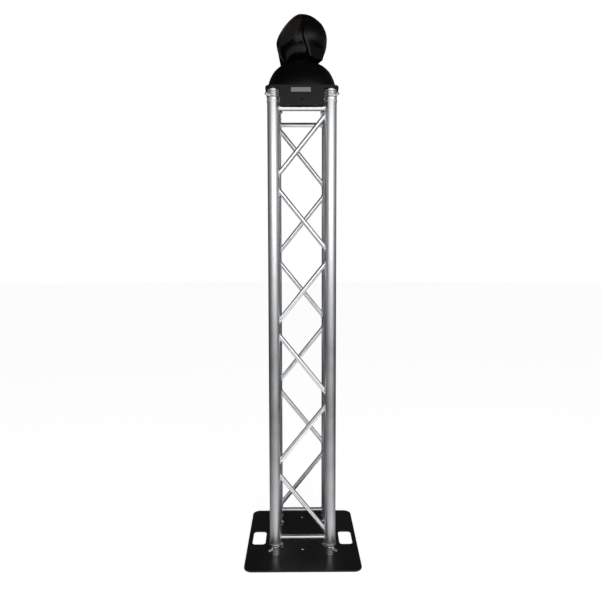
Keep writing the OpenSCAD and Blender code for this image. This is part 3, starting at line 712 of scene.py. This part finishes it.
def couplers(end, z, pin_z, flip, groove_depth):
    """Receivers, tapered pins and spring clips at one end of the truss."""
    def receivers(bm):
        for place in corner_frames(z, flip):
            turned_mm(bm, receiver_profile(groove_depth), place, 96)

    def pin_holes(bm):
        for place in corner_frames(z, flip):
            turned_mm(bm, [(0, -45), (5.6, -45), (6.45, 45), (0, 45)], outward(place, pin_rise))

    def pins(bm):
        for place in corner_frames(z, flip):
            turned_mm(bm, pin_profile(), outward(place, pin_rise))

    def clip_holes(bm):
        for place in corner_frames(pin_z, False):
            hole = place @ Matrix.Translation((CLIP_PLACE, 0, 0))
            turned_mm(bm, [(0, -9), (1.5, -9), (1.5, 9), (0, 9)], hole, 24)

    def clips(bm):
        for place in corner_frames(pin_z, False):
            points = [place @ Vector((CLIP_PLACE, y * MM, up * MM)) for y, up in CLIP_CURVE]
            sweep(bm, smooth_path(points), lambda i: CLIP_WIRE_R, 12, closed=False)

    finished = piece("receivers_turned_" + end, receivers, bright_metal, "stand",
                     replaces=["receivers_" + end])
    carve(finished, pin_holes)
    shade(finished)
    turned_pins = piece("pins_turned_" + end, pins, zinc_metal, "stand",
                        replaces=["taper_pins_" + end])
    carve(turned_pins, clip_holes)
    shade(turned_pins)
    piece("r_clips_" + end, clips, zinc_metal, "stand", 60,
          replaces=["spring_clips_" + end])


couplers("bottom", truss_z0, pin_low_z, False, 0.25)
couplers("top", truss_z1, pin_high_z, True, 1.1)


# ---------- plates, covers and shells with rounded edges ----------

EDGES = {                                           # width of each node's rounded edges, in mm
    "stand": {"base_plate": 1.0, "top_plate": 1.0, "fascia": 0.6, "rating_plate": 0.2,
              "dome_cover": 0.6, "rear_panel": 0.8, "display_window": 0.3},
    "yoke_body": {"yoke": 0.6, "yoke_caps": 0.6},
    "head_body": {"head_front_shell": 0.6, "head_rear_shell": 0.6},
}
for body, widths in EDGES.items():
    for node, width in widths.items():
        soften(node, width * MM, body)


# ---------- head: bezel and lenses ----------

head_place = axes(light_centre, beam_axis, side_axis)
BEZEL = ((70.0, 68), (70.0, 75.2), (70.5, 76.4), (71.6, 77.2), (73.5, 77.5), (75.4, 77.2),
         (76.2, 76.4), (76.4, 75.4), (76.4, 68))
LENS_FACE = 70 * MM                                 # nominal optic plane, from the head's centre
LENS_PITCH = 19.5 * MM
OPTIC_PLATE = ((0, -3), (69.8, -3), (69.8, -1), (0, -1))
LENS = ((0, -2), (9.0, -2), (8.9, -0.9), (8.3, 0.1), (7.2, 0.75), (5.6, 1), (3.4, 0.8), (1.6, 0.45),
        (0, 0.3))


def bezel_ring(bm):
    turned_mm(bm, BEZEL, head_place, 160)


def lens_sheet(bm):
    """The optic plate and its lenses: a centre one and three rings, each dished in its middle."""
    face = head_place @ Matrix.Translation((0, 0, LENS_FACE))
    turned_mm(bm, OPTIC_PLATE, face, 120)
    turned_mm(bm, LENS, face, 36)
    for ring in (1, 2, 3):
        for i in range(6 * ring):
            a = math.tau * i / (6 * ring)
            r = ring * LENS_PITCH
            turned_mm(bm, LENS, face @ Matrix.Translation((r * math.cos(a), r * math.sin(a), 0)), 36)


piece("bezel_ring", bezel_ring, trim_black, "head_body", 40, replaces=["front_bezel"])
piece("lens_sheet", lens_sheet, lens_clear, "head_body", 40, replaces=["lens_array"])


# ---------- rear panel: buttons, sockets and display frame ----------

panel_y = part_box("rear_panel")[1].y

# Outlines are (radius, height from the panel's face) in mm.
BUTTON = ((0, 1.55), (2.4, 1.8), (3.3, 1.65), (3.85, 1.1), (4, 0.4), (4, -2.8), (5.2, -2.8),
          (5.2, -4.3), (4, -4.3), (4, -6.2), (0, -6.2))
INLET = ((0, -1.2), (3.7, -1.2), (4.7, -1.6), (5, -2.4), (5, -12), (10, -12), (10, -0.4), (10.7, 0.9),
         (11.4, 1.5), (13.2, 1.5), (14, 0.8), (14, 0), (12, 0), (12, -22), (0, -22))
DATA_SOCKET = ((0, -10), (8, -10), (8, 0.3), (8.5, 1.2), (9.2, 1.5), (10.9, 1.5), (11.5, 0.9),
               (11.5, 0), (10, 0), (10, -20), (0, -20))
CONTACT = ((0, -1.4), (0.6, -1.6), (0.9, -2.4), (0.9, -11), (0, -11))
FUSE_CAP = ((0, 2.4), (2.6, 2.4), (2.9, 3), (6.3, 3), (7.1, 2.6), (7.5, 1.8), (7.5, 0), (6, 0),
            (6, -20), (0, -20))
DATA_RIM_R = 11.5 * MM
FUSE_RIM_R = 7.5 * MM
FUSE_STEP = 28 * MM                                 # from the second data socket to the fuse
FUSE_RIBS = 24


def on_panel(x, z):
    """A place on the panel's face: Z points out, X to the viewer's left."""
    return axes((x, panel_y, z), (0, 1, 0), (1, 0, 0))


def panel_place(node):
    """The middle of a round panel part, on the panel's face."""
    low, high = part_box(node)
    return on_panel((low.x + high.x) / 2, (low.z + high.z) / 2)


def contacts(bm, place, r, angles, segments):
    """Sockets for the pins of a plug, on a circle of radius r in mm."""
    for angle in angles:
        turn = Matrix.Rotation(math.radians(angle), 4, "Z")
        turned_mm(bm, CONTACT, place @ turn @ Matrix.Translation((r * MM, 0, 0)), segments)


for title in ("menu", "down", "up", "enter"):
    piece("button_domed_" + title, lambda bm: turned_mm(bm, BUTTON, panel_place("button_" + title)),
          rubber_black, title + "_button", 40, replaces=["button_" + title])


def inlet(bm):
    place = panel_place("power_inlet")
    turned_mm(bm, INLET, place, 72)
    contacts(bm, place, 7.4, (0, 120, 240), 20)


def fuse_cap(bm, place):
    """Screw cap with a knurled edge."""
    turned_mm(bm, FUSE_CAP, place)
    r = FUSE_RIM_R - 0.2 * MM
    for k in range(FUSE_RIBS):
        a = math.tau * k / FUSE_RIBS
        rib = [place @ Vector((r * math.cos(a), r * math.sin(a), z * MM)) for z in (0.2, 1.2, 2.2)]
        sweep(bm, rib, lambda i: 0.2 * MM, 6, closed=False)


def sockets_and_fuse(bm):
    low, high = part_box("data_sockets")
    middle_z = (low.z + high.z) / 2
    fuse_x = high.x - FUSE_RIM_R
    for x in (low.x + DATA_RIM_R, fuse_x - FUSE_STEP):
        place = on_panel(x, middle_z)
        turned_mm(bm, DATA_SOCKET, place, 64)
        contacts(bm, place, 4.4, range(54, 414, 72), 16)
    fuse_cap(bm, on_panel(fuse_x, middle_z))


def display_frame(bm):
    """A raised bead round the display window, with rounded corners."""
    low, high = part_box("display_window")
    inset = 1.5 * MM
    r = inset + 0.6 * MM
    y = panel_y - 0.2 * MM
    left, right = low.x + inset, high.x - inset
    under, over = low.z + inset, high.z - inset
    path = []
    for x, z, start in ((right, over, 0), (left, over, 90), (left, under, 180), (right, under, 270)):
        for turn in range(0, 91, 15):
            a = math.radians(start + turn)
            path.append(Vector((x + r * math.cos(a), y, z + r * math.sin(a))))
    sweep(bm, path, lambda i: 0.9 * MM, 10)


piece("inlet_turned", inlet, inlet_blue, "stand", 40, replaces=["power_inlet"])
piece("sockets_turned", sockets_and_fuse, socket_black, "stand", 40,
      replaces=["data_sockets"])
piece("display_frame", display_frame, trim_black, "stand", 50)


# ---------- stage ----------

FLOOR_R = 40


def make_stage():
    """A pale floor that only the camera sees; the studio's light stands in for it elsewhere."""
    floor_mesh = bpy.data.meshes.new("floor")
    bm = bmesh.new()
    bmesh.ops.create_circle(bm, cap_ends=True, segments=64, radius=FLOOR_R)
    bm.to_mesh(floor_mesh)
    bm.free()
    floor = bpy.data.objects.new("floor", floor_mesh)
    floor.location.z = -0.5 * MM
    bpy.context.scene.collection.objects.link(floor)
    paint = Paint("floor_paint", roughness=0.9, colour=(0.93, 0.93, 0.93))
    paint.shader.inputs["Emission Color"].default_value = (1, 1, 1, 1)
    paint.shader.inputs["Emission Strength"].default_value = 0.85
    floor_mesh.materials.append(paint.material)
    floor.visible_glossy = False
    floor.visible_diffuse = False


# Brightness of the studio by the height of the direction (its Z), by its depth (its Y) and by
# its side (its X): a bright band in front at chest height and above, a grey floor below, dark
# above and behind, and a little more light from the right. The floor lights up again close by,
# all round the truss.
STUDIO_BY_HEIGHT = ((-0.62, 1.60), (-0.52, 0.60), (-0.45, 0.10), (-0.35, 0.04), (-0.17, 0.04),
                    (-0.08, 0.22), (-0.03, 0.65), (0.04, 1.20), (0.28, 1.25), (0.42, 0.35),
                    (0.70, 0.10), (1.0, 0.10))
STUDIO_BY_DEPTH = ((-1.0, 1.0), (-0.78, 0.84), (-0.45, 0.46), (-0.2, 0.34), (0.0, 0.23),
                   (0.35, 0.13), (1.0, 0.11))
STUDIO_BY_SIDE = ((-1.0, 0.7), (-0.4, 0.9), (0.0, 1.0), (0.4, 1.5), (0.75, 2.1), (1.0, 0.9))
NEAR_FLOOR = ((-1.0, 0.5), (-0.52, 0.5), (-0.42, 0.0), (1.0, 0.0))


def studio_level(tree, source, levels):
    """A colour ramp over one component of the direction, which runs from -1 to 1."""
    spread = tree.nodes.new("ShaderNodeMapRange")
    spread.inputs["From Min"].default_value = -1
    spread.inputs["From Max"].default_value = 1
    ramp = tree.nodes.new("ShaderNodeValToRGB")
    elements = ramp.color_ramp.elements
    while len(elements) < len(levels):
        elements.new(0.5)
    for element, (place, level) in zip(elements, levels):
        element.position = (place + 1) / 2
        element.color = (level, level, level, 1)
    tree.links.new(source, spread.inputs["Value"])
    tree.links.new(spread.outputs["Result"], ramp.inputs["Fac"])
    return ramp.outputs["Color"]


def combined(tree, operation, first, second):
    """Product or sum of two colours."""
    result = tree.nodes.new("ShaderNodeVectorMath")
    result.operation = operation
    tree.links.new(first, result.inputs[0])
    tree.links.new(second, result.inputs[1])
    return result.outputs[0]


def make_world():
    """White all round for the camera, and the studio's own light for everything else."""
    world = bpy.data.worlds.new("studio")
    bpy.context.scene.world = world
    world.use_nodes = True
    tree = world.node_tree
    tree.nodes.clear()
    output = tree.nodes.new("ShaderNodeOutputWorld")
    choice = tree.nodes.new("ShaderNodeMixShader")
    seen = tree.nodes.new("ShaderNodeBackground")
    room = tree.nodes.new("ShaderNodeBackground")
    path = tree.nodes.new("ShaderNodeLightPath")
    split = tree.nodes.new("ShaderNodeSeparateXYZ")
    seen.inputs["Color"].default_value = (1, 1, 1, 1)
    tree.links.new(tree.nodes.new("ShaderNodeTexCoord").outputs["Generated"], split.inputs["Vector"])
    result = studio_level(tree, split.outputs["Z"], STUDIO_BY_HEIGHT)
    for axis, levels in (("Y", STUDIO_BY_DEPTH), ("X", STUDIO_BY_SIDE)):
        result = combined(tree, "MULTIPLY", result, studio_level(tree, split.outputs[axis], levels))
    result = combined(tree, "ADD", result, studio_level(tree, split.outputs["Z"], NEAR_FLOOR))
    tree.links.new(result, room.inputs["Color"])
    tree.links.new(path.outputs["Is Camera Ray"], choice.inputs["Fac"])
    tree.links.new(room.outputs[0], choice.inputs[1])
    tree.links.new(seen.outputs[0], choice.inputs[2])
    tree.links.new(choice.outputs[0], output.inputs["Surface"])


def softbox(name, place, target, width, height, radiance):
    """A rectangular lamp at place that faces target."""
    data = bpy.data.lights.new(name, "AREA")
    data.shape = "RECTANGLE"
    data.size = width
    data.size_y = height
    data.energy = radiance * math.pi * width * height
    light = bpy.data.objects.new(name, data)
    light.location = place
    light.rotation_euler = (Vector(target) - Vector(place)).to_track_quat("-Z", "Y").to_euler()
    bpy.context.scene.collection.objects.link(light)


make_stage()
make_world()
softbox("key", (0.1, -2.62, 2.0), (0, 0, 2.0), 3.4, 1.2, 1.7)
bpy.context.scene.view_settings.view_transform = "Standard"
